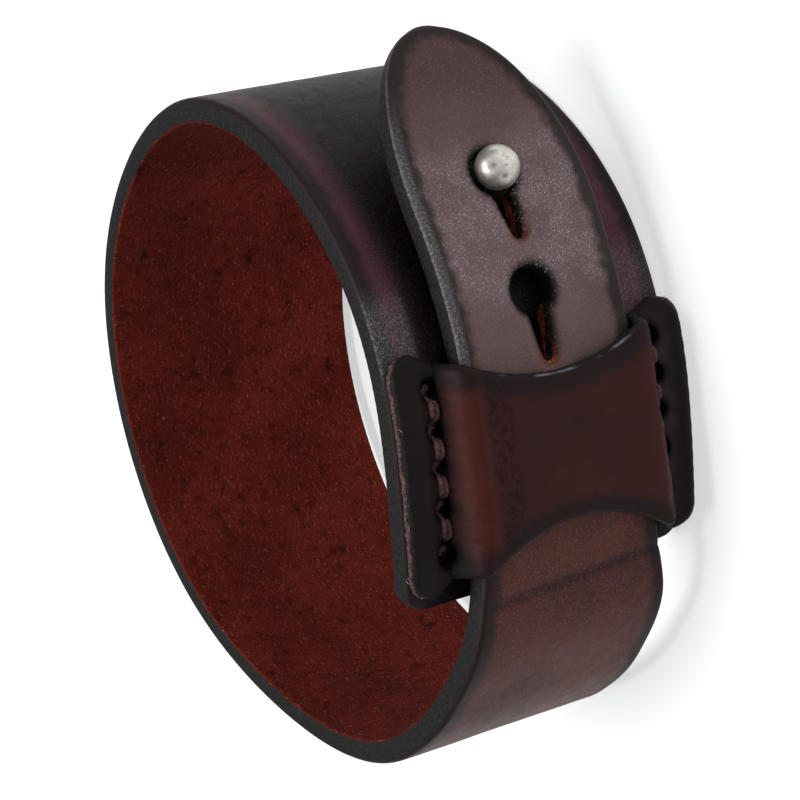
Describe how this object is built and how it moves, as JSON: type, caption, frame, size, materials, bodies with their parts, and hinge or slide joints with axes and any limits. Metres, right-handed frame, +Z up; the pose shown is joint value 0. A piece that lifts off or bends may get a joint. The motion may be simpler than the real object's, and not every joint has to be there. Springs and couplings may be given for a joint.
{
  "type": "leather cuff bracelet",
  "caption": "Leather wrist cuff lying on its side: a tapered strap laps over its base end, passes under a sewn waisted keeper and buttons over a steel ball stud.",
  "frame": {"origin": "centre of the box's underside, on the surface that the lower rim rests on", "axes": "+Z up through the wrist opening, +X along the front from the base end to the tongue, -Y out of the front face with the keeper"},
  "size_m": [0.07, 0.0664, 0.03],
  "materials": {
    "strap_leather": "waxed grain outside, red-brown flesh side, blackened edges",
    "keeper_leather": "waxed grain with blackened edges",
    "stitch_thread": "waxed twisted thread",
    "stud_steel": "brushed, slightly aged"
  },
  "bodies": {
    "root": {"strap": "strap_leather", "keeper": "keeper_leather", "ball_stud": "stud_steel", "stud_screw": "stud_steel"}
  },
  "joints": []
}
